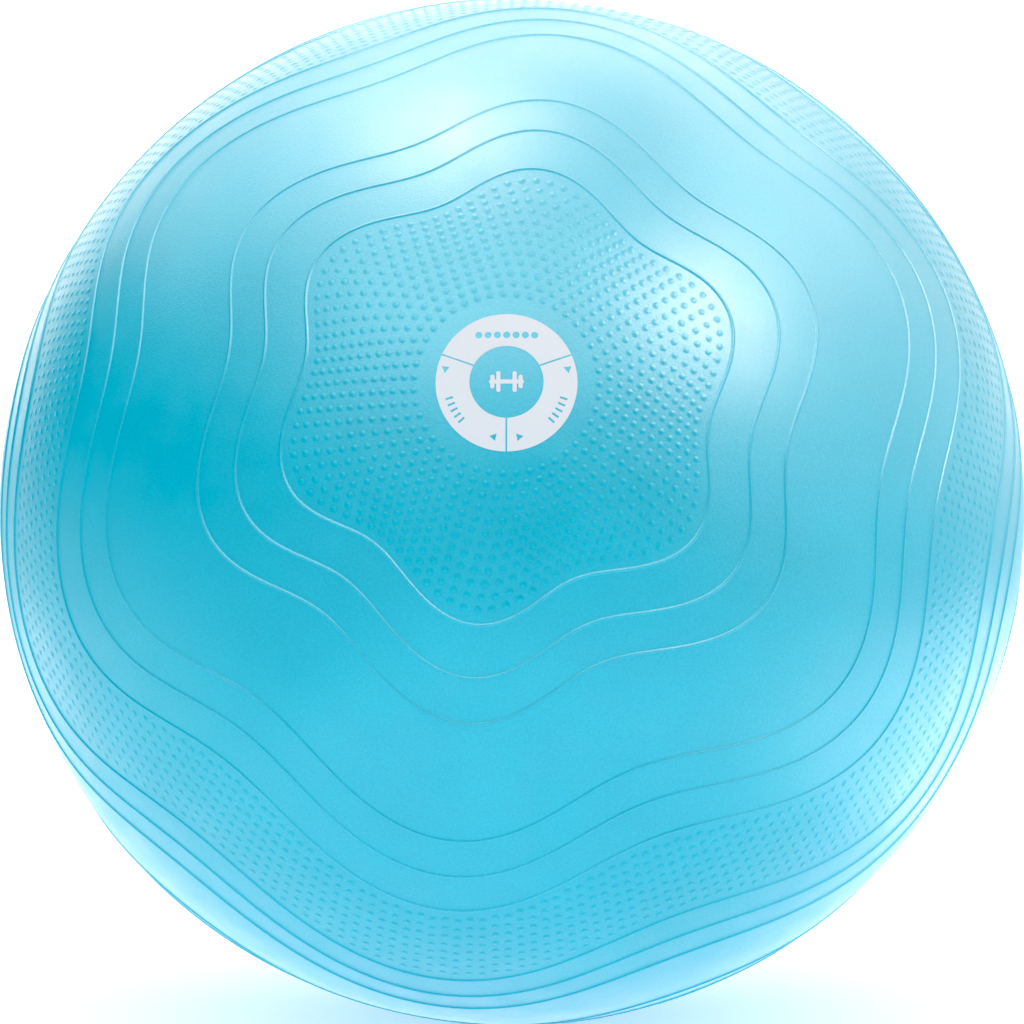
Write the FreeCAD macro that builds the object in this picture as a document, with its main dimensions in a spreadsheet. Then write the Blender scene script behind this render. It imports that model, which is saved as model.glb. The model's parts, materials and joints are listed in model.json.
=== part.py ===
"""A 650 mm inflated exercise ball: moulded skin, bonded valve sleeve, pull-out stopper and printed marks.

Row frame: +Z up, with the origin at the centre of the flat patch on which the ball rests.
The pattern axis runs through the ball's centre, from the stopper at the back to the printed ring at the
front. It lies in the YZ plane and points towards -Y, raised above the horizontal by axis_rise.
Pieces on that axis are first made on +Z about the ball's centre, and then turned into place.
"""

import FreeCAD
import Part
import Sketcher
import os
from FreeCAD import Placement, Rotation, Vector

SIZES = {
    # Skin.
    "ball_dia": 650.0,
    "skin_wall": 0.8,
    "rest_dia": 70.0,  # flat patch that carries the ball's weight
    "rest_blend": 80.0,  # radius that eases the patch into the sphere
    "axis_rise": 20.0,
    # Valve sleeve.
    "bore_dia": 8.6,
    "barrel_wall": 2.2,
    "collar_wall": 2.2,  # between the head's recess and the skin
    "recess_floor": 1.6,
    "flange_wide": 9.5,  # beyond the collar, all round
    "flange_thick": 1.6,
    "sleeve_deep": 24.0,
    # Stopper.
    "head_dia": 14.0,
    "head_thick": 1.9,
    "head_gap": 0.3,  # round the head, in its recess
    "head_lift": 0.1,  # under the head
    "stem_dia": 7.0,
    "stem_long": 15.0,
    "nose_dia": 5.0,
    "nose_long": 4.0,
    "seal_gap": 0.05,  # between the seal rings and the bore
    "seal_tall": 1.5,
    "seal_pitch": 4.0,
    "notch_wide": 4.0,
    "notch_deep": 1.2,
    "notch_floor": 0.8,
    # Printed ring.
    "ink_thick": 0.12,
    "ring_outer": 85.4,
    "ring_inner": 44.6,
    "split_wide": 1.0,
    "split_rise": 2.6,  # from the ring's centre up to the point where its splits meet
    "split_slope": 20.8,  # of the two upper splits, above the horizontal
    "dot_dia": 4.2,
    "dot_step": 5.6,
    "dot_in": 7.0,  # from the ring's inner edge up to the row of dots
    "tick_long": 4.6,
    "tick_wide": 1.3,
    "tick_in": 6.9,  # from the ring's outer edge to the ticks' middles
    "tick_step": 6.2,
    "tick_slope": 28.5,  # of the middle tick, below the horizontal
    "arrow_size": 2.7,
    "arrow_in": 5.4,
    "arrow_off": 11.8,  # bearing from a split to the arrow beside it
    # Printed centre mark.
    "bar_long": 21.0,
    "bar_wide": 2.6,
    "plate_out": 4.9,  # from the middle of the bar to the inner plates
    "plate_step": 3.6,
    "plate_wide": 2.6,
    "plate_tall": 13.0,
    "plate_short": 8.6,
}
SEAL_COUNT = 3
DOT_COUNT = 7
TICK_COUNT = 5
OVERRUN = 5.0  # how far a cutting tool runs past what it cuts

OUTSIDE = "Sizes.ball_dia / 2"  # distances from the ball's centre
INSIDE = "(Sizes.ball_dia / 2 - Sizes.skin_wall)"
BEYOND = f"(Sizes.ball_dia / 2 + {OVERRUN})"
CENTRE_HEIGHT = (
    "Sizes.rest_blend + sqrt((Sizes.ball_dia / 2 - Sizes.rest_blend) ^ 2 - (Sizes.rest_dia / 2) ^ 2)"
)
RECESS_DIA = "(Sizes.head_dia + 2 * Sizes.head_gap)"
COLLAR_DIA = f"({RECESS_DIA} + 2 * Sizes.collar_wall)"

doc = FreeCAD.newDocument("exercise_ball")
sheet = doc.addObject("Spreadsheet::Sheet", "Sizes")
for row, (alias, value) in enumerate(SIZES.items(), start=1):
    sheet.set(f"A{row}", str(value))
    sheet.setAlias(f"A{row}", alias)
doc.recompute()


def bind(part, rules):
    """Ties each named property of a part to an expression."""
    for path, rule in rules.items():
        part.setExpression(path, rule)
    return part


def cylinder(name, dia, low, high):
    made = doc.addObject("Part::Cylinder", name)
    return bind(
        made, {"Radius": f"({dia}) / 2", "Height": f"({high}) - ({low})", "Placement.Base.z": low}
    )


def cone(name, low_dia, high_dia, low, high):
    made = doc.addObject("Part::Cone", name)
    ends = {"Radius1": f"({low_dia}) / 2", "Radius2": f"({high_dia}) / 2"}
    return bind(made, {**ends, "Height": f"({high}) - ({low})", "Placement.Base.z": low})


def sphere(name, radius):
    return bind(doc.addObject("Part::Sphere", name), {"Radius": radius})


def fuse(name, parts):
    made = doc.addObject("Part::MultiFuse", name)
    made.Shapes = parts
    return made


def cut(name, base, tool):
    made = doc.addObject("Part::Cut", name)
    made.Base, made.Tool = base, tool
    return made


def common(name, first, second):
    made = doc.addObject("Part::Common", name)
    made.Base, made.Tool = first, second
    return made


def seat(part, label, side, lean):
    """Turns a part, made on +Z, about X onto the pattern axis, and moves it to the ball's centre."""
    part.Placement = Placement(Vector(), Rotation(Vector(side, 0, 0), 90))
    part.Label = label
    return bind(part, {"Placement.Base.z": CENTRE_HEIGHT, "Placement.Rotation.Angle": lean})


def seat_at_front(part, label):
    return seat(part, label, 1, "90 - Sizes.axis_rise")


def seat_at_back(part, label):
    return seat(part, label, -1, "90 + Sizes.axis_rise")


# Skin: one moulded bag of soft vinyl, revolved from half its section, with a hole for the valve sleeve.


def arc_between(centre, radius, start, end):
    circle = Part.Circle(centre, Vector(0, 0, 1), radius)
    return Part.ArcOfCircle(circle, circle.parameter(start), circle.parameter(end))


def draw_skin_section(sketch):
    """A flat patch, an easing arc and the sphere, and the same again one wall further in."""
    radius, wall = SIZES["ball_dia"] / 2, SIZES["skin_wall"]
    blend, rest = SIZES["rest_blend"], SIZES["rest_dia"] / 2
    ease_centre = Vector(rest, blend, 0)
    centre = Vector(0, blend + ((radius - blend) ** 2 - rest**2) ** 0.5, 0)
    towards_join = (ease_centre - centre).normalize()
    top, inner_top = centre + Vector(0, radius, 0), centre + Vector(0, radius - wall, 0)
    join, inner_join = centre + towards_join * radius, centre + towards_join * (radius - wall)
    edge, inner_edge = Vector(rest, 0, 0), Vector(rest, wall, 0)
    foot, inner_foot = Vector(), Vector(0, wall, 0)

    flat = sketch.addGeometry(Part.LineSegment(foot, edge))
    ease = sketch.addGeometry(arc_between(ease_centre, blend, edge, join))
    dome = sketch.addGeometry(arc_between(centre, radius, join, top))
    crown = sketch.addGeometry(Part.LineSegment(top, inner_top))
    inner_dome = sketch.addGeometry(arc_between(centre, radius - wall, inner_join, inner_top))
    inner_ease = sketch.addGeometry(arc_between(ease_centre, blend - wall, inner_edge, inner_join))
    inner_flat = sketch.addGeometry(Part.LineSegment(inner_edge, inner_foot))
    closing = sketch.addGeometry(Part.LineSegment(inner_foot, foot))

    start, end, middle = 1, 2, 3
    origin, upright = -1, -2
    for rule in (
        ("Coincident", flat, start, origin, start),
        ("Horizontal", flat),
        ("Tangent", flat, end, ease, start),
        ("Tangent", ease, end, dome, start),
        ("PointOnObject", dome, middle, upright),
        ("PointOnObject", dome, end, upright),
        ("Coincident", dome, end, crown, start),
        ("Coincident", crown, end, inner_dome, end),
        ("PointOnObject", inner_dome, end, upright),
        ("Coincident", inner_dome, middle, dome, middle),
        ("Coincident", inner_ease, middle, ease, middle),
        ("Tangent", inner_dome, start, inner_ease, end),
        ("Coincident", inner_ease, start, inner_flat, start),
        ("Horizontal", inner_flat),
        ("PointOnObject", inner_flat, end, upright),
        ("Coincident", inner_flat, end, closing, start),
        ("Coincident", closing, end, flat, start),
    ):
        sketch.addConstraint(Sketcher.Constraint(*rule))
    for label, rule, size in (
        ("rest", ("DistanceX", flat, start, flat, end, rest), "Sizes.rest_dia / 2"),
        ("blend", ("Radius", ease, blend), "Sizes.rest_blend"),
        ("radius", ("Radius", dome, radius), "Sizes.ball_dia / 2"),
        ("wall", ("DistanceY", closing, end, closing, start, wall), "Sizes.skin_wall"),
    ):
        sketch.renameConstraint(sketch.addConstraint(Sketcher.Constraint(*rule)), label)
        sketch.setExpression(f"Constraints.{label}", size)


def draw_valve_hole(sketch):
    hole = sketch.addGeometry(Part.Circle(Vector(), Vector(0, 0, 1), SIZES["head_dia"] / 2))
    sketch.addConstraint(Sketcher.Constraint("Coincident", hole, 3, -1, 1))
    width = sketch.addConstraint(Sketcher.Constraint("Radius", hole, SIZES["head_dia"] / 2))
    sketch.renameConstraint(width, "hole")
    sketch.setExpression("Constraints.hole", f"{COLLAR_DIA} / 2")


def attached_sketch(body, name, role):
    sketch = body.newObject("Sketcher::SketchObject", name)
    plane = next(plane for plane in body.Origin.OriginFeatures if plane.Role == role)
    sketch.AttachmentSupport = [(plane, "")]
    sketch.MapMode = "FlatFace"
    return sketch


def make_skin():
    body = doc.addObject("PartDesign::Body", "Skin")
    section = attached_sketch(body, "SkinSection", "XZ_Plane")
    draw_skin_section(section)
    doc.recompute()
    bag = body.newObject("PartDesign::Revolution", "SkinBag")
    bag.Profile = section
    bag.ReferenceAxis = (section, ["V_Axis"])
    bag.Angle = 360
    doc.recompute()

    circle = attached_sketch(body, "ValveHoleCircle", "XY_Plane")
    circle.AttachmentOffset = Placement(Vector(), Rotation(Vector(-1, 0, 0), 90))
    draw_valve_hole(circle)
    bind(
        circle,
        {
            "AttachmentOffset.Base.y": f"{BEYOND} * cos(Sizes.axis_rise)",
            "AttachmentOffset.Base.z": f"{CENTRE_HEIGHT} - {BEYOND} * sin(Sizes.axis_rise)",
            "AttachmentOffset.Rotation.Angle": "90 + Sizes.axis_rise",
        },
    )
    doc.recompute()
    hole = body.newObject("PartDesign::Pocket", "ValveHole")
    hole.Profile = circle
    bind(hole, {"Length": f"Sizes.skin_wall + 2 * {OVERRUN}"})
    body.Label = "ball_skin"
    return body


# Valve sleeve: a soft vinyl bush, bonded into the skin's hole and behind it by a thin curved flange.


def make_sleeve():
    under_flange = f"({INSIDE} - Sizes.flange_thick)"
    recess = f"({OUTSIDE} - Sizes.head_thick - Sizes.head_lift)"
    deep_end = f"({OUTSIDE} - Sizes.sleeve_deep)"
    flange_dia = f"{COLLAR_DIA} + 2 * Sizes.flange_wide"
    barrel_dia = "Sizes.bore_dia + 2 * Sizes.barrel_wall"

    disc = cylinder("FlangeDisc", flange_dia, f"{under_flange} - {OVERRUN}", OUTSIDE)
    roof = common("FlangeRoof", disc, sphere("FlangeOuter", INSIDE))
    flange = cut("Flange", roof, sphere("FlangeInner", under_flange))
    collar = cylinder("Collar", COLLAR_DIA, f"{recess} - Sizes.recess_floor", OUTSIDE)
    barrel = cylinder("Barrel", barrel_dia, deep_end, recess)
    blank = fuse("SleeveBlank", [flange, collar, barrel])
    flush = common("SleeveFlush", blank, sphere("SleeveTop", OUTSIDE))
    bore = cylinder("Bore", "Sizes.bore_dia", f"{deep_end} - {OVERRUN}", BEYOND)
    opening = cylinder("HeadRecess", RECESS_DIA, recess, BEYOND)
    return seat_at_back(cut("Sleeve", flush, fuse("SleeveOpening", [bore, opening])), "valve_sleeve")


# Stopper: a moulded plug with a flush head, seal rings on its stem, a tapered nose and a pry notch.


def make_stopper():
    under_head = f"({OUTSIDE} - Sizes.head_thick)"
    stem_end = f"({under_head} - Sizes.stem_long)"
    head_disc = cylinder("HeadDisc", "Sizes.head_dia", under_head, OUTSIDE)
    head = common("Head", head_disc, sphere("HeadTop", OUTSIDE))
    stem = cylinder("Stem", "Sizes.stem_dia", stem_end, f"{under_head} + Sizes.notch_floor")
    nose = cone("Nose", "Sizes.nose_dia", "Sizes.stem_dia", f"{stem_end} - Sizes.nose_long", stem_end)
    seals = []
    for number in range(1, SEAL_COUNT + 1):
        low = f"({under_head} - {number} * Sizes.seal_pitch)"
        seal_dia = "Sizes.bore_dia - 2 * Sizes.seal_gap"
        seals.append(cone(f"Seal{number}", "Sizes.stem_dia", seal_dia, low, f"{low} + Sizes.seal_tall"))
    notch = bind(
        doc.addObject("Part::Box", "PryNotch"),
        {
            "Length": "Sizes.notch_wide",
            "Width": f"Sizes.notch_deep + {OVERRUN}",
            "Height": "Sizes.head_thick",
            "Placement.Base.x": "-Sizes.notch_wide / 2",
            "Placement.Base.y": "Sizes.head_dia / 2 - Sizes.notch_deep",
            "Placement.Base.z": f"{under_head} + Sizes.notch_floor",
        },
    )
    blank = fuse("StopperBlank", [head, stem, nose, *seals])
    return seat_at_back(cut("Stopper", blank, notch), "valve_stopper")


# Print: pale ink on the skin, a ring of three arcs round a dumbbell. The marks in the arcs are bare skin.
# Each outline is a tall column on +Z, of which only the layer of ink is kept. Bearings run from +X to +Y.


def on_bearing(part, reach, bearing, turn, aside="0", up="0"):
    """Stands a column out on a bearing from a point on Y, and turns it; aside moves it sideways."""
    part.Placement = Placement(Vector(), Rotation(Vector(0, 0, 1), 90))
    return bind(
        part,
        {
            "Placement.Base.x": f"({reach}) * cos({bearing}) + ({aside}) * sin({bearing})",
            "Placement.Base.y": f"({reach}) * sin({bearing}) - ({aside}) * cos({bearing}) + {up}",
            "Placement.Rotation.Angle": turn,
        },
    )


def block(name, along, across):
    made = doc.addObject("Part::Box", name)
    return bind(made, {"Length": along, "Width": across, "Height": BEYOND})


def column(name, dia, x="0", y="0"):
    made = cylinder(name, dia, "0", BEYOND)
    return bind(made, {"Placement.Base.x": x, "Placement.Base.y": y})


def dot(number):
    across = f"{number - (DOT_COUNT - 1) / 2} * Sizes.dot_step"
    return column(f"Dot{number}", "Sizes.dot_dia", across, "Sizes.ring_inner / 2 + Sizes.dot_in")


def tick(name, bearing):
    """A short bar that points away from the ring's centre."""
    inner_end = "Sizes.ring_outer / 2 - Sizes.tick_in - Sizes.tick_long / 2"
    bar = block(name, "Sizes.tick_long", "Sizes.tick_wide")
    return on_bearing(bar, inner_end, bearing, bearing, aside="Sizes.tick_wide / 2")


def arrow(name, split, way):
    """A triangle beside a split that points along the ring, away from the split."""
    made = doc.addObject("Part::Prism", name)
    made.Polygon = 3
    bind(made, {"Circumradius": "Sizes.arrow_size", "Height": BEYOND})
    bearing = f"({split} + {way} * Sizes.arrow_off)"
    reach = "Sizes.ring_outer / 2 - Sizes.arrow_in"
    return on_bearing(made, reach, bearing, f"{bearing} + {way} * 90", up="Sizes.split_rise")


def split_line(name, bearing):
    bar = block(name, "Sizes.ring_outer", "Sizes.split_wide")
    return on_bearing(bar, "0", bearing, bearing, aside="Sizes.split_wide / 2", up="Sizes.split_rise")


def inked(name, outline):
    """The layer of ink on the ball that lies within an outline."""
    outer = sphere(f"{name}InkTop", "Sizes.ball_dia / 2 + Sizes.ink_thick")
    layer = cut(f"{name}Ink", outer, sphere(f"{name}InkBase", OUTSIDE))
    return common(name, outline, layer)


def make_arc(name, start, end, marks):
    """The part of the ring between two splits, without its marks."""
    wedge = doc.addObject("Part::Cylinder", f"{name}Wedge")
    bind(wedge, {"Radius": "Sizes.ring_outer", "Height": BEYOND, "Angle": f"{end} - ({start})"})
    on_bearing(wedge, "0", start, start, up="Sizes.split_rise")
    part_disc = common(f"{name}Disc", wedge, column(f"{name}Edge", "Sizes.ring_outer"))
    eye = column(f"{name}Eye", "Sizes.ring_inner")
    splits = [split_line(f"{name}Split{number}", bearing) for number, bearing in enumerate((start, end))]
    return inked(name, cut(f"{name}Outline", part_disc, fuse(f"{name}Bare", [eye, *splits, *marks])))


def side_marks(name, start, end, middle):
    """A row of ticks round a bearing, between two arrows that point at it."""
    marks = [arrow(f"{name}FirstArrow", start, 1), arrow(f"{name}LastArrow", end, -1)]
    for number in range(TICK_COUNT):
        bearing = f"({middle} + {number - (TICK_COUNT - 1) / 2} * Sizes.tick_step)"
        marks.append(tick(f"{name}Tick{number}", bearing))
    return marks


def round_bar(name, long, wide, x="0", turn="0"):
    """A bar with round ends, centred on X and turned about its own middle."""
    straight = f"({long} - {wide})"
    middle = block(f"{name}Middle", straight, wide)
    bind(middle, {"Placement.Base.x": f"-{straight} / 2", "Placement.Base.y": f"-{wide} / 2"})
    ends = [column(f"{name}End{side}", wide, f"{way} * {straight} / 2") for side, way in enumerate((-1, 1))]
    return on_bearing(fuse(name, [middle, *ends]), x, "0", turn)


def dumbbell():
    bars = [round_bar("Handle", "Sizes.bar_long", "Sizes.bar_wide")]
    for side, way in enumerate((-1, 1)):
        inner = f"{way} * Sizes.plate_out"
        outer = f"{way} * (Sizes.plate_out + Sizes.plate_step)"
        bars.append(round_bar(f"TallPlate{side}", "Sizes.plate_tall", "Sizes.plate_wide", inner, "90"))
        bars.append(round_bar(f"ShortPlate{side}", "Sizes.plate_short", "Sizes.plate_wide", outer, "90"))
    return fuse("DumbbellOutline", bars)


def make_print():
    right, left, low = "Sizes.split_slope", "(180 - Sizes.split_slope)", "270"
    right_again = "(360 + Sizes.split_slope)"
    dots = [dot(number) for number in range(DOT_COUNT)]
    left_marks = side_marks("LeftArc", left, low, "(180 + Sizes.tick_slope)")
    right_marks = side_marks("RightArc", low, right_again, "(360 - Sizes.tick_slope)")
    return [
        seat_at_front(make_arc("TopArc", right, left, dots), "print_arc_top"),
        seat_at_front(make_arc("LeftArc", left, low, left_marks), "print_arc_left"),
        seat_at_front(make_arc("RightArc", low, right_again, right_marks), "print_arc_right"),
        seat_at_front(inked("Dumbbell", dumbbell()), "print_centre_mark"),
    ]


pieces = [make_skin(), make_sleeve(), make_stopper(), *make_print()]
doc.recompute()

for thing in doc.Objects:
    if {"Invalid", "Error"} & set(thing.State):
        raise RuntimeError(f"{thing.Name} failed to build: {thing.State}")
for piece in pieces:
    if piece.Shape.isNull() or not piece.Shape.isValid() or not piece.Shape.Solids:
        raise RuntimeError(f"{piece.Label} has no valid solid")

os.makedirs("parts", exist_ok=True)
for piece in pieces:
    piece.Shape.exportStep(f"parts/{piece.Label}.step")
    box = piece.Shape.BoundBox
    low = f"({box.XMin:.2f}, {box.YMin:.2f}, {box.ZMin:.2f})"
    high = f"({box.XMax:.2f}, {box.YMax:.2f}, {box.ZMax:.2f})"
    print(f"{piece.Label}: {len(piece.Shape.Solids)} solid, {piece.Shape.Volume:.1f} mm3, {low} to {high}")
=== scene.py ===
"""An inflated exercise ball of soft vinyl, with moulded ribs and studs, a printed ring and a valve."""

import json
import math

import bpy
import numpy as np
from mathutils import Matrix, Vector


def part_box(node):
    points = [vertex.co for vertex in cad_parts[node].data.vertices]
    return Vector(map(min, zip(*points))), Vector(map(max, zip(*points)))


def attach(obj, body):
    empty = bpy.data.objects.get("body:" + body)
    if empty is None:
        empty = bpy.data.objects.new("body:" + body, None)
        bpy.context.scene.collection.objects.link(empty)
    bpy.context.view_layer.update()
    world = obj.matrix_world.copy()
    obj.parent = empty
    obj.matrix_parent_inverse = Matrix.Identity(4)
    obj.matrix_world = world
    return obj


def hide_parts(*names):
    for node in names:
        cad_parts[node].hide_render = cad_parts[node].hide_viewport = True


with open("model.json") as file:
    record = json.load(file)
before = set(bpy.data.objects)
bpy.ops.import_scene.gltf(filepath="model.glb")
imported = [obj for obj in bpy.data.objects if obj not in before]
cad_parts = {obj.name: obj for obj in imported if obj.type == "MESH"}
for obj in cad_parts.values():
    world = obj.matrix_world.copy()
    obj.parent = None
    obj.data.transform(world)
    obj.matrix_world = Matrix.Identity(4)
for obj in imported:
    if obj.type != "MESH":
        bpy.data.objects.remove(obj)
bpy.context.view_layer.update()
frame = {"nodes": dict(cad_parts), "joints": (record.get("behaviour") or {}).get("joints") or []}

# Ball skin: one hollow bag, moulded in soft vinyl and blown up. Its ribs are part of the moulding, low beads
# that run round the ball in waves, in three sets of three on each half, and a plain bead rings the valve.
# The skin is pressed flat where it rests. Polar angles start at the print, and the valve is at 180 degrees.

BALL_RADIUS = 0.325
SKIN_WALL = 0.0008
REST_RADIUS = 0.035
REST_BLEND = 0.080
VALVE_HOLE_RADIUS = 0.0095
VALVE_RING_RADIUS = 0.021
FRONT_RIBS = (24.3, 29.8, 34.7, 48.8, 53.8, 59.1, 73.4, 78.1, 82.7)  # polar angles, in degrees
RIB_HALF_WIDTH = 0.0014
RIB_HEIGHT = 0.00085
RIB_STEPS = 3  # rows on each side of a rib
WAVES = 6
WAVE_HEIGHT = math.radians(4.8)
WAVE_LEAN = 0.033
WAVE_START = math.radians(21.05)
FADE_END, FADE_WIDE = math.radians(4.8), math.radians(12)  # round the valve
PLAIN_STEP = 2.9  # degrees between rows of plain skin
SKIN_SEGMENTS = 480
INNER_SEGMENTS, INNER_ROWS = 96, 48

back = Vector(frame["joints"][0]["axis"]).normalized()
front = -back
across = Vector((1, 0, 0))
upward = front.cross(across)
centre = Vector((0, 0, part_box("ball_skin")[1][2] - BALL_RADIUS))


def polar_of(radius, distance=BALL_RADIUS):
    """The polar angle, in degrees, of a circle of this radius round the valve."""
    return 180 - math.degrees(math.asin(radius / distance))


def wavy(polar, bearing, share=1.0):
    """The polar angle of a row that swings about a mean; share is 0 on a plain circle and 1 on a rib."""
    swing = WAVE_HEIGHT * np.sin(polar) * share
    turn = WAVES * (bearing - WAVE_START)
    return polar + swing * np.cos(turn) + WAVE_LEAN * swing * np.sin(2 * turn)


def skin_radius(down):
    """From the ball's centre to the skin; down is the cosine of the angle from straight down."""
    angle = np.arccos(np.clip(down, -1, 1))
    flat = centre.z / np.maximum(down, 0.1)
    ease = Vector((REST_RADIUS, centre.z - REST_BLEND))
    along = np.sin(angle) * ease.x + down * ease.y
    eased = along + np.sqrt(np.maximum(along**2 - ease.length_squared + REST_BLEND**2, 0))
    flat_edge = math.atan2(REST_RADIUS, centre.z)
    ball_edge = math.asin(REST_RADIUS / (BALL_RADIUS - REST_BLEND))
    return np.where(angle < flat_edge, flat, np.where(angle < ball_edge, eased, BALL_RADIUS))


def on_skin(polar, bearing, raised=0.0):
    """Points on the skin, or raised from it, and the directions in which they lie from the centre."""
    sideways = np.outer(np.cos(bearing), across) + np.outer(np.sin(bearing), upward)
    out = np.outer(np.cos(polar), front) + np.sin(polar)[:, None] * sideways
    return np.array(centre) + out * (skin_radius(-out[:, 2]) + raised)[:, None], out


def skin_rows():
    """Each row from front to back: its polar angle in degrees, its step aside from it, and 1 on a bead."""
    back_ribs = [180 - polar for polar in reversed(FRONT_RIBS)]
    ribs = [*FRONT_RIBS, *back_ribs, polar_of(VALVE_RING_RADIUS)]
    steps = [number / RIB_STEPS for number in range(-RIB_STEPS, RIB_STEPS + 1)]
    half = math.degrees(RIB_HALF_WIDTH / BALL_RADIUS)
    rows = []
    edge = half
    for polar in ribs + [polar_of(VALVE_HOLE_RADIUS)]:
        gap = polar - edge - 2 * half
        spaces = max(1, round(gap / PLAIN_STEP))
        rows += [(edge + half + gap * number / spaces, 0, 0) for number in range(1, spaces)]
        if polar in ribs:
            rows += [(polar, step, 1) for step in steps]
        edge = polar
    return rows + [(edge, 0, 0)]


def row_points(polar, step, beaded, bearing):
    """Points of the outer skin. The rows' waves die down to plain circles round the valve."""
    share = np.clip((math.pi - polar - FADE_END) / FADE_WIDE, 0, 1)
    slope = WAVES * WAVE_HEIGHT * np.sin(WAVES * (bearing - WAVE_START)) * share
    aside = step * RIB_HALF_WIDTH / BALL_RADIUS * np.sqrt(1 + slope**2)
    rise = beaded * np.cos(math.pi / 2 * np.clip(step, -1, 1)) ** 2
    points = on_skin(wavy(polar, bearing, share) + aside, bearing, rise * RIB_HEIGHT)[0]
    points[:, 2] = np.maximum(points[:, 2], 0)
    return points


def row_facing(polar, step, beaded, bearing):
    """The directions square to the outer skin, beads and all."""
    nudge = 0.01
    near, far = (row_points(polar, step + aside, beaded, bearing) for aside in (-nudge, nudge))
    left, right = (row_points(polar, step, beaded, bearing + turn) for turn in (-nudge, nudge))
    square = np.cross(far - near, right - left)
    return square / np.maximum(np.linalg.norm(square, axis=1), 1e-12)[:, None]


def clear_selection():
    """Leaves object mode on and nothing selected."""
    if bpy.context.object and bpy.context.object.mode != "OBJECT":
        bpy.ops.object.mode_set(mode="OBJECT")
    bpy.ops.object.select_all(action="DESELECT")


def select_vertices(piece, wanted):
    """Leaves the piece in edit mode with only the wanted vertices selected."""
    bpy.ops.object.mode_set(mode="EDIT")
    bpy.ops.mesh.select_mode(type="VERT")
    bpy.ops.mesh.select_all(action="DESELECT")
    bpy.ops.object.mode_set(mode="OBJECT")
    for vertex in piece.data.vertices:
        vertex.select = wanted(vertex.co)
    bpy.ops.object.mode_set(mode="EDIT")


def open_sphere(name, segments, rings):
    """A unit sphere on +Z with its lowest point removed, and the row and bearing of each of its points."""
    clear_selection()
    bpy.ops.mesh.primitive_uv_sphere_add(segments=segments, ring_count=rings, radius=1)
    ball = bpy.context.object
    ball.name = name
    select_vertices(ball, lambda place: place.z < -0.9999999)
    bpy.ops.mesh.delete(type="VERT")
    bpy.ops.object.mode_set(mode="OBJECT")
    places = np.array([vertex.co for vertex in ball.data.vertices])
    row = np.rint(np.arccos(np.clip(places[:, 2], -1, 1)) * rings / math.pi).astype(int)
    return ball, row, np.arctan2(places[:, 1], places[:, 0])


def move_points(piece, points):
    piece.data.vertices.foreach_set("co", points.ravel())
    piece.data.update()


def make_outer_skin():
    """The outer skin, and the way each point faces; the pole and the valve's edge are left to Blender."""
    rows = skin_rows()
    outer, row, bearing = open_sphere("skin", SKIN_SEGMENTS, len(rows) + 1)
    polar, step, beaded = np.array([(0, 0, 0)] + rows).T
    place = np.radians(polar)[row], step[row], beaded[row], bearing
    move_points(outer, row_points(*place))
    facing = row_facing(*place)
    facing[(row == 0) | (row == len(rows))] = 0
    return outer, facing


def make_inner_skin():
    """The skin's inner face, plain and open at the valve."""
    inner, row, bearing = open_sphere("skin_inside", INNER_SEGMENTS, INNER_ROWS)
    last = math.radians(polar_of(VALVE_HOLE_RADIUS, BALL_RADIUS - SKIN_WALL))
    points, _ = on_skin(last * row / (INNER_ROWS - 1), bearing, -SKIN_WALL)
    move_points(inner, points)
    inner.data.flip_normals()
    return inner


def make_skin():
    """Joins both faces of the skin round the valve's hole, and shades the outer one by its true facing."""
    skin, facing = make_outer_skin()
    inside = make_inner_skin()
    clear_selection()
    skin.select_set(True)
    inside.select_set(True)
    bpy.context.view_layer.objects.active = skin
    bpy.ops.object.join()
    bpy.ops.object.mode_set(mode="EDIT")
    bpy.ops.mesh.select_mode(type="EDGE")
    bpy.ops.mesh.select_all(action="DESELECT")
    bpy.ops.mesh.select_non_manifold()
    bpy.ops.mesh.bridge_edge_loops()
    bpy.ops.object.mode_set(mode="OBJECT")
    bpy.ops.object.shade_smooth_by_angle(angle=math.radians(40))
    worked_out = np.zeros((len(skin.data.vertices) - len(facing), 3))  # a zero leaves it to Blender
    skin.data.normals_split_custom_set_from_vertices(np.vstack([facing, worked_out]))
    return skin


def linear(code):
    """An sRGB hex colour as linear red, green, blue and alpha."""
    shares = [int(code[start:start + 2], 16) / 255 for start in (0, 2, 4)]
    return [s / 12.92 if s <= 0.04045 else ((s + 0.055) / 1.055) ** 2.4 for s in shares] + [1.0]


def add_node(tree, kind, settings=None, **inputs):
    """Adds a node with its settings; each input is a value or another node's output."""
    node = tree.nodes.new(kind)
    for name, value in (settings or {}).items():
        setattr(node, name, value)
    for name, value in inputs.items():
        socket = node.inputs[name.replace("_", " ")]
        if isinstance(value, bpy.types.NodeSocket):
            tree.links.new(value, socket)
        else:
            socket.default_value = value
    return node


def new_material(name):
    """An empty material and the tree of its nodes."""
    material = bpy.data.materials.new(name)
    material.use_nodes = True
    material.node_tree.nodes.clear()
    return material, material.node_tree


def cover(piece, material):
    piece.data.materials.clear()
    piece.data.materials.append(material)


# Soft PVC, moulded in a blasted tool: a satin surface that spreads the light wide, with a fine even grain.
# Blowing the ball up stretches the skin unevenly, which clouds its colour and its gloss a little.
VINYL_DEEP, VINYL_PALE = "009CB9", "00A2BF"
VINYL_IOR = 1.53
VINYL_MATT, VINYL_GLOSSY = 0.43, 0.37
CLOUD_SIZE = 0.075
SHEEN_PATCH_SIZE = 0.022
GRAIN_SIZE = 0.0013  # the tool's grain is nearer 0.3 mm, too fine to show
GRAIN_DEPTH = 0.00012
GRAIN_SHADE = 0.07  # the grain's pits hold a little shade

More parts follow.
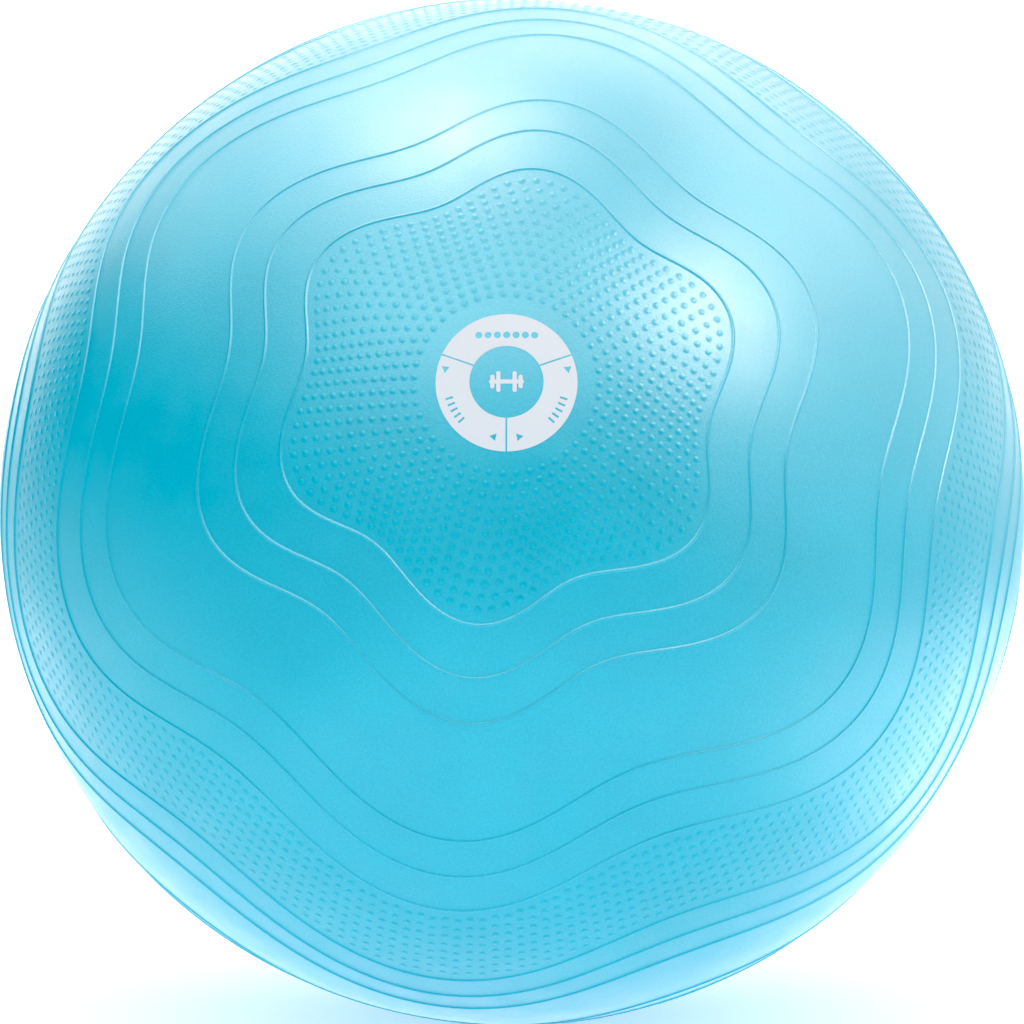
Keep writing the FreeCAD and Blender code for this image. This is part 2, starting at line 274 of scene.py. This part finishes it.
soft_vinyl, tree = new_material("soft_vinyl_satin")
place = add_node(tree, "ShaderNodeTexCoord").outputs["Object"]
clouds = add_node(tree, "ShaderNodeTexNoise", Vector=place, Scale=1 / CLOUD_SIZE, Detail=3.0)
tone = add_node(tree, "ShaderNodeMapRange", Value=clouds.outputs["Fac"], From_Min=0.3, From_Max=0.7)
colour = add_node(tree, "ShaderNodeMix", {"data_type": "RGBA"})
colour.inputs[6].default_value, colour.inputs[7].default_value = linear(VINYL_DEEP), linear(VINYL_PALE)
tree.links.new(tone.outputs["Result"], colour.inputs[0])
patches = add_node(tree, "ShaderNodeTexNoise", Vector=place, Scale=1 / SHEEN_PATCH_SIZE, Detail=4.0)
roughness = add_node(
    tree, "ShaderNodeMapRange", Value=patches.outputs["Fac"],
    From_Min=0.3, From_Max=0.7, To_Min=VINYL_GLOSSY, To_Max=VINYL_MATT,
)
grain = add_node(tree, "ShaderNodeTexNoise", Vector=place, Scale=1 / GRAIN_SIZE, Detail=2.0)
grained = add_node(
    tree, "ShaderNodeBump", Height=grain.outputs["Fac"], Distance=GRAIN_DEPTH, Strength=1.0
)
pits = add_node(
    tree, "ShaderNodeMapRange", Value=grain.outputs["Fac"],
    From_Min=0.35, From_Max=0.65, To_Min=1 - GRAIN_SHADE, To_Max=1 + GRAIN_SHADE,
)
shaded = add_node(tree, "ShaderNodeHueSaturation", Color=colour.outputs[2], Value=pits.outputs["Result"])
surface = add_node(
    tree, "ShaderNodeBsdfPrincipled", Base_Color=shaded.outputs["Color"],
    Roughness=roughness.outputs["Result"], Normal=grained.outputs["Normal"], IOR=VINYL_IOR,
)
add_node(tree, "ShaderNodeOutputMaterial", Surface=surface.outputs["BSDF"])

skin = make_skin()
cover(skin, soft_vinyl)
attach(skin, "ball")
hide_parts("ball_skin")

# Studs: small domes on the skin that give it grip, part of the same moulding. A field of them fills each end
# of the ball inside its first rib, and another the band between its second and third sets of ribs.

STUD_RADIUS = 0.0026
STUD_HEIGHT = 0.00038
STUD_SINK = 0.00003
STUD_CLEARANCE = 0.002  # above the floor
STUD_SIDES = 12
STUD_RINGS = (0.7, 0.4)  # shares of its radius
CAP_ROWS, CAP_FIRST, CAP_STEP = 12, 9.9, 1.17  # polar angles, in degrees
CAP_FIRST_COUNT, CAP_EXTRA = 43, 5
BAND_ROWS, BAND_FIRST, BAND_STEP = 8, 60.85, 1.56
BAND_COUNT = 240
BAND_ZIGZAG = 0.15
STUD_SHINE = 0.38

# The studs are the same soft PVC in a copy of its material with the gloss turned down: painted shade that
# makes them read as darker dots where their slopes turn the highlights away.
stud_vinyl_dimmed = soft_vinyl.copy()
stud_vinyl_dimmed.name = "soft_vinyl_painted_shade"
stud_vinyl_dimmed.node_tree.nodes["Principled BSDF"].inputs["Specular IOR Level"].default_value = STUD_SHINE


def make_stud():
    """One dome on +Z with a foot just under the skin."""
    clear_selection()
    bpy.ops.mesh.primitive_circle_add(vertices=STUD_SIDES, radius=STUD_RADIUS, fill_type="NGON")
    stud = bpy.context.object
    bpy.ops.object.mode_set(mode="EDIT")
    bpy.ops.mesh.select_all(action="SELECT")
    lift = STUD_HEIGHT + STUD_SINK
    risen, size = 0.0, 1.0
    for share in STUD_RINGS:
        rise = math.cos(math.pi / 2 * share) ** 2
        bpy.ops.mesh.inset(thickness=(size - share) * STUD_RADIUS * math.cos(math.pi / STUD_SIDES))
        bpy.ops.transform.translate(value=(0, 0, (rise - risen) * lift))
        risen, size = rise, share
    bpy.ops.mesh.poke(offset=(1 - risen) * lift)
    bpy.ops.object.mode_set(mode="OBJECT")
    return stud


def stud_field(name, stud, polar, bearing):
    """Copies the stud to each place that the floor doesn't press flat; its rim is shaded as the skin is."""
    middles, out = on_skin(polar, bearing, -STUD_SINK)
    clear = middles[:, 2] > STUD_CLEARANCE
    middles, out, bearing = middles[clear], out[clear], bearing[clear]
    aside = -np.outer(np.sin(bearing), across) + np.outer(np.cos(bearing), upward)
    turned = np.stack([aside, np.cross(out, aside), out], axis=1)
    shape = np.array([vertex.co for vertex in stud.data.vertices])
    loops = [list(polygon.vertices) for polygon in stud.data.polygons]
    points = middles[:, None] + np.einsum("vk,nkc->nvc", shape, turned)
    faces = [[index + copy * len(shape) for index in loop] for copy in range(len(middles)) for loop in loops]
    mesh = bpy.data.meshes.new(name)
    mesh.from_pydata(points.reshape(-1, 3).tolist(), [], faces)
    mesh.shade_smooth()
    rim = np.hypot(shape[:, 0], shape[:, 1]) > 0.99 * STUD_RADIUS
    facing = np.zeros((len(middles), len(shape), 3))
    facing[:, rim] = out[:, None]
    mesh.normals_split_custom_set_from_vertices(facing.reshape(-1, 3))
    field = bpy.data.objects.new(name, mesh)
    bpy.context.collection.objects.link(field)
    # the studs take the copy whose lowered gloss is painted shade
    cover(field, stud_vinyl_dimmed)
    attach(field, "ball")
    return field


def cap_rows():
    """Each ring of studs at an end: how many, its angle, its share of the wave, its shift and its zigzag."""
    for number in range(CAP_ROWS):
        share = number / (CAP_ROWS - 1)
        yield CAP_FIRST_COUNT + CAP_EXTRA * number, CAP_FIRST + CAP_STEP * number, share, number % 2 / 2, 0


def band_rows():
    """Each ring of studs in a band, in the same terms, with a zigzag in degrees."""
    for number in range(BAND_ROWS):
        yield BAND_COUNT, BAND_FIRST + BAND_STEP * number, 1, 0, BAND_ZIGZAG


def stud_places(rows, at_back):
    """Polar angles and bearings of a field's studs; the back's waves swing the same way as the front's."""
    polars, bearings = [], []
    for count, angle, share, shift, zigzag in rows:
        bearing = (np.arange(count) + shift) * 2 * math.pi / count
        mean = np.full(count, math.radians(180 - angle if at_back else angle))
        polars.append(wavy(mean, bearing, share) + math.radians(zigzag) * (-1) ** np.arange(count))
        bearings.append(bearing)
    return np.concatenate(polars), np.concatenate(bearings)


stud = make_stud()
for end, at_back in (("front", False), ("back", True)):
    stud_field(f"studs_{end}_cap", stud, *stud_places(cap_rows(), at_back))
    stud_field(f"studs_{end}_band", stud, *stud_places(band_rows(), at_back))
bpy.data.objects.remove(stud)

# Valve sleeve: a bush of thicker, softer vinyl, bonded into the skin's hole with a flange behind it. Its
# recess takes the stopper's head, so nothing stands proud of the ball.

# Plasticised PVC, injection moulded and smooth: closer and glossier than the skin, and a shade deeper.
SLEEVE_COLOUR = "0091AE"
SLEEVE_GRAIN, SLEEVE_GRAIN_DEPTH = 0.0006, 0.00001

bush_vinyl, tree = new_material("bush_vinyl_moulded")
place = add_node(tree, "ShaderNodeTexCoord").outputs["Object"]
grain = add_node(tree, "ShaderNodeTexNoise", Vector=place, Scale=1 / SLEEVE_GRAIN, Detail=2.0)
grained = add_node(
    tree, "ShaderNodeBump", Height=grain.outputs["Fac"], Distance=SLEEVE_GRAIN_DEPTH, Strength=1.0
)
roughness = add_node(
    tree, "ShaderNodeMapRange", Value=grain.outputs["Fac"],
    From_Min=0.3, From_Max=0.7, To_Min=0.28, To_Max=0.36,
)
surface = add_node(
    tree, "ShaderNodeBsdfPrincipled", Base_Color=linear(SLEEVE_COLOUR), IOR=VINYL_IOR,
    Roughness=roughness.outputs["Result"], Normal=grained.outputs["Normal"],
)
add_node(tree, "ShaderNodeOutputMaterial", Surface=surface.outputs["BSDF"])
cover(frame["nodes"]["valve_sleeve"], bush_vinyl)

# Stopper: a white plug that keeps the air in, injection moulded in one piece. Three barbed rings on its stem
# seal in the sleeve, and a notch in the edge of its dished head takes a finger nail or the pump's key.

STOPPER_SIDES = 64
HEAD_RADIUS, HEAD_THICK = 0.007, 0.0019
HEAD_ROUND, HEAD_EDGE = 0.0003, 0.0002  # of its top and of its underside
STEM_RADIUS, STEM_LONG = 0.0035, 0.015
STEM_FILLET = 0.0004
STEM_EDGE = 0.0002
NOSE_RADIUS, NOSE_LONG = 0.0025, 0.004
NOSE_ROUND = 0.0004
SEAL_RADIUS, SEAL_TALL, SEAL_PITCH, SEALS = 0.00425, 0.0015, 0.004, 3
SEAL_EDGE = 0.0002
DISH_RADIUS, DISH_DEPTH, DISH_SLOPE = 0.0042, 0.0003, 0.0003
GATE_RADIUS, GATE_HEIGHT = 0.0005, 0.0001
NOTCH_WIDE, NOTCH_DEEP, NOTCH_FLOOR = 0.004, 0.0012, 0.0008
NOTCH_ROUND = 0.0004


def stopper_outline():
    """Radius and height of each ring, from the nose to the middle of the head's top; 0 is under the head."""
    tip = -STEM_LONG - NOSE_LONG
    rings = [(NOSE_RADIUS - NOSE_ROUND, tip), (NOSE_RADIUS, tip + NOSE_ROUND)]
    rings += [(STEM_RADIUS - STEM_EDGE / 2, -STEM_LONG - STEM_EDGE), (STEM_RADIUS, -STEM_LONG + STEM_EDGE)]
    for number in range(SEALS, 0, -1):
        low = -number * SEAL_PITCH
        high = low + SEAL_TALL
        rings += [(STEM_RADIUS, low), (SEAL_RADIUS, high - SEAL_EDGE), (SEAL_RADIUS, high)]
        rings += [(STEM_RADIUS + STEM_EDGE / 2, high), (STEM_RADIUS, high + STEM_EDGE)]
    rings += [(STEM_RADIUS, -STEM_FILLET), (STEM_RADIUS + STEM_FILLET, 0)]
    rings += [(HEAD_RADIUS - HEAD_EDGE, 0), (HEAD_RADIUS, HEAD_EDGE)]
    rim = HEAD_THICK - HEAD_RADIUS**2 / (2 * BALL_RADIUS)
    for degrees in (0, 30, 60, 90):
        turn = math.radians(degrees)
        inward, down = HEAD_ROUND * (1 - math.cos(turn)), HEAD_ROUND * (1 - math.sin(turn))
        rings.append((HEAD_RADIUS - inward, rim - down))
    floor_height = HEAD_THICK - DISH_DEPTH
    rings.append((DISH_RADIUS + DISH_SLOPE, HEAD_THICK - DISH_DEPTH / 10))
    rings.append((DISH_RADIUS, HEAD_THICK - DISH_DEPTH / 3))
    rings += [(DISH_RADIUS - DISH_SLOPE, floor_height), (GATE_RADIUS + GATE_HEIGHT, floor_height)]
    return rings + [(GATE_RADIUS, floor_height + GATE_HEIGHT)]


def turn_up(name, rings, sides):
    """Draws a disc up through a list of rings, as on a lathe."""
    clear_selection()
    radius, height = rings[0]
    bpy.ops.mesh.primitive_circle_add(
        vertices=sides, radius=radius, fill_type="NGON", location=(0, 0, height)
    )
    piece = bpy.context.object
    piece.name = name
    bpy.ops.object.transform_apply()
    bpy.ops.object.mode_set(mode="EDIT")
    bpy.ops.mesh.select_all(action="SELECT")
    for next_radius, next_height in rings[1:]:
        bpy.ops.mesh.extrude_region_move(TRANSFORM_OT_translate={"value": (0, 0, next_height - height)})
        share = next_radius / radius
        bpy.ops.transform.resize(value=(share, share, 1), center_override=(0, 0, next_height))
        radius, height = next_radius, next_height
    bpy.ops.mesh.select_all(action="SELECT")
    bpy.ops.mesh.normals_make_consistent(inside=False)
    bpy.ops.object.mode_set(mode="OBJECT")
    return piece


def cut_notch(stopper):
    """Cuts the notch from above in the edge of the head, with rounded inner corners."""
    clear_selection()
    reach = 0.004
    bpy.ops.mesh.primitive_cube_add(size=1)
    cutter = bpy.context.object
    cutter.scale = (NOTCH_WIDE, NOTCH_DEEP + reach, reach)
    cutter.location = (0, HEAD_RADIUS + (reach - NOTCH_DEEP) / 2, NOTCH_FLOOR + reach / 2)
    bpy.ops.object.transform_apply()
    rounding = cutter.modifiers.new("rounding", "BEVEL")
    rounding.width, rounding.segments = NOTCH_ROUND, 3
    bpy.ops.object.modifier_apply(modifier=rounding.name)
    clear_selection()
    stopper.select_set(True)
    bpy.context.view_layer.objects.active = stopper
    notch = stopper.modifiers.new("notch", "BOOLEAN")
    notch.operation, notch.solver, notch.object = "DIFFERENCE", "EXACT", cutter
    bpy.ops.object.modifier_apply(modifier=notch.name)
    bpy.data.objects.remove(cutter)


# LDPE, injection moulded: waxy white, soft in its gloss, with a little light passing into thin edges.
PLUG_WHITE, PLUG_SHADE = "D4D6D4", "CBCECE"
PLUG_FLOW_SIZE = 0.004
PLUG_DEPTH = 0.0012  # how far light strays inside

waxy_plastic, tree = new_material("polyethylene_moulded")
place = add_node(tree, "ShaderNodeTexCoord").outputs["Object"]
flow = add_node(tree, "ShaderNodeTexNoise", Vector=place, Scale=1 / PLUG_FLOW_SIZE, Detail=3.0)
colour = add_node(tree, "ShaderNodeMix", {"data_type": "RGBA"})
colour.inputs[6].default_value, colour.inputs[7].default_value = linear(PLUG_WHITE), linear(PLUG_SHADE)
tree.links.new(flow.outputs["Fac"], colour.inputs[0])
roughness = add_node(
    tree, "ShaderNodeMapRange", Value=flow.outputs["Fac"],
    From_Min=0.3, From_Max=0.7, To_Min=0.3, To_Max=0.4,
)
surface = add_node(
    tree, "ShaderNodeBsdfPrincipled", Base_Color=colour.outputs[2], Roughness=roughness.outputs["Result"],
    IOR=1.51, Subsurface_Weight=0.25, Subsurface_Scale=PLUG_DEPTH,
)
add_node(tree, "ShaderNodeOutputMaterial", Surface=surface.outputs["BSDF"])

stopper = turn_up("stopper", stopper_outline(), STOPPER_SIDES)
cut_notch(stopper)
stopper.rotation_euler.x = -math.acos(back.z)
stopper.location = centre + back * (BALL_RADIUS - HEAD_THICK)
bpy.ops.object.transform_apply()
bpy.ops.object.shade_smooth_by_angle(angle=math.radians(35))
cover(stopper, waxy_plastic)
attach(stopper, "stopper")
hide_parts("valve_stopper")

# Print: one pass of pale ink, screen printed on the blown-up ball. A ring in three arcs carries rows of
# plain marks, bare skin within the ink, and the middle of the ring carries a small dumbbell.

# Vinyl screen ink: flat and even, a little rougher than the skin, and thin enough to take its grain.
INK_COLOUR, INK_THIN = "CBD2DB", "C5CDD6"
INK_MESH = 0.0016  # the screen's threads are nearer 0.2 mm, too fine to show
INK_RELIEF = 0.00002

screen_ink, tree = new_material("vinyl_screen_ink")
place = add_node(tree, "ShaderNodeTexCoord").outputs["Object"]
threads = add_node(tree, "ShaderNodeTexNoise", Vector=place, Scale=1 / INK_MESH, Detail=2.0)
colour = add_node(tree, "ShaderNodeMix", {"data_type": "RGBA"})
colour.inputs[6].default_value, colour.inputs[7].default_value = linear(INK_COLOUR), linear(INK_THIN)
tree.links.new(threads.outputs["Fac"], colour.inputs[0])
grained = add_node(tree, "ShaderNodeBump", Height=threads.outputs["Fac"], Distance=INK_RELIEF, Strength=1.0)
surface = add_node(
    tree, "ShaderNodeBsdfPrincipled", Base_Color=colour.outputs[2], Roughness=0.6,
    Normal=grained.outputs["Normal"], Specular_IOR_Level=0.25,
)
add_node(tree, "ShaderNodeOutputMaterial", Surface=surface.outputs["BSDF"])
for name in ("print_arc_top", "print_arc_left", "print_arc_right", "print_centre_mark"):
    cover(frame["nodes"][name], screen_ink)

# Floor, lights and camera: a white sweep in an even white surround, which lights the colours, and large soft
# boxes, which make the highlights.

FLOOR_WIDE = 60.0
FLOOR_GLOW = 0.4
SURROUND = 1.07
SOFT_WHITE, WARM = (1, 0.9, 0.83), (1, 0.7, 0.55)
OVERHEAD = {  # bearing, height above the ball in degrees, distance, size, colour, W per m2
    "overhead": (-120, 85, 2.5, 2.9, SOFT_WHITE, 14.5),
    "overhead_core": (-110, 80, 2.4, 1.0, WARM, 63),
    "key_core": (55, 42, 2.5, 0.9, WARM, 88),
}
RING_BEARINGS = (-160, -115, -70, -25, 20, 65, 110, 155)  # from the front round to the right
RINGS = {  # height in degrees, distance, width, height, and W per m2 at each bearing
    "high": (45, 2.6, 1.55, 1.45, (11.5, 13, 6, 21, 14, 19, 20, 16.5)),
    "low": (14, 2.6, 2.1, 1.4, (11.6, 0, 0, 2.6, 0, 10, 9, 7.4)),
}
FLOOR_TILE, TILE_LIFT = 0.75, 0.001
FLOOR_GLOWS = ((0, 3.9, 5.8), (6.5, 5, 0), (4.5, 11, 8.8))  # W per m2, left to right, each front to back
RED_TOE = 0.05  # the red share of the veil that the surround lays on every gloss, taken out again
CAMERA_DISTANCE = 5.897
CAMERA_RISE = math.radians(6.03)
CAMERA_TURN = math.radians(0.62)
CAMERA_LENS = 326.4


def towards(turn, rise):
    """The direction at this bearing from the front, and this high above the horizontal, in radians."""
    return Vector((math.sin(turn) * math.cos(rise), -math.cos(turn) * math.cos(rise), math.sin(rise)))


def aim_at_ball(thing, direction, distance):
    """Puts a lamp or the camera at this distance in this direction, facing the ball's centre."""
    thing.location = centre + direction * distance
    thing.rotation_euler = (-direction).to_track_quat("-Z", "Y").to_euler()


clear_selection()
bpy.ops.mesh.primitive_plane_add(size=FLOOR_WIDE)
floor = bpy.context.object
floor.name = "floor"
# Painted board: dead matt white, lit from within a little so that the ball hardly shades it.
white_floor, tree = new_material("white_floor")
paper = add_node(
    tree, "ShaderNodeBsdfPrincipled", Base_Color=(0.95, 0.95, 0.95, 1), Roughness=0.9,
    Specular_IOR_Level=0.0, Emission_Color=(1, 1, 1, 1), Emission_Strength=FLOOR_GLOW,
)
add_node(tree, "ShaderNodeOutputMaterial", Surface=paper.outputs["BSDF"])
cover(floor, white_floor)

surround = bpy.data.worlds.new("surround")
bpy.context.scene.world = surround
surround.use_nodes = True
surround.node_tree.nodes["Background"].inputs["Strength"].default_value = SURROUND
surround.node_tree.nodes["Background"].inputs["Color"].default_value = (1, 1, 1, 1)
surround.cycles_visibility.glossy = False


def soft_box(name, width, height, glow):
    """A lamp that only makes highlights; the even surround lights the colours."""
    lamp = bpy.data.lights.new(name, "AREA")
    lamp.shape, lamp.size, lamp.size_y, lamp.energy = "RECTANGLE", width, height, glow * width * height
    box = bpy.data.objects.new(name, lamp)
    bpy.context.collection.objects.link(box)
    box.visible_camera = box.visible_diffuse = False
    return box


for name, (turn, rise, distance, size, colour, glow) in OVERHEAD.items():
    box = soft_box(name, size, size, glow)
    box.data.color = colour
    aim_at_ball(box, towards(math.radians(turn), math.radians(rise)), distance)
for ring, (rise, distance, width, height, glows) in RINGS.items():
    for turn, glow in zip(RING_BEARINGS, glows):
        if glow:
            box = soft_box(f"{ring}_{turn}", width, height, glow)
            box.data.color = SOFT_WHITE
            aim_at_ball(box, towards(math.radians(turn), math.radians(rise)), distance)
for column, glows in enumerate(FLOOR_GLOWS):
    for row, glow in enumerate(glows):
        if glow:
            box = soft_box(f"floor_{column}_{row}", FLOOR_TILE, FLOOR_TILE, glow)
            box.location = ((column - 1) * FLOOR_TILE, (row - 1) * FLOOR_TILE, TILE_LIFT)
            box.rotation_euler.x = math.pi

lens = bpy.data.cameras.new("camera")
lens.lens, lens.sensor_width = CAMERA_LENS, 36
camera = bpy.data.objects.new("camera", lens)
bpy.context.collection.objects.link(camera)
aim_at_ball(camera, towards(CAMERA_TURN, CAMERA_RISE), CAMERA_DISTANCE)
bpy.context.scene.camera = camera
view = bpy.context.scene.view_settings
view.view_transform = "Standard"
view.use_curve_mapping = True
view.curve_mapping.black_level = (RED_TOE, 0, 0)
view.curve_mapping.update()
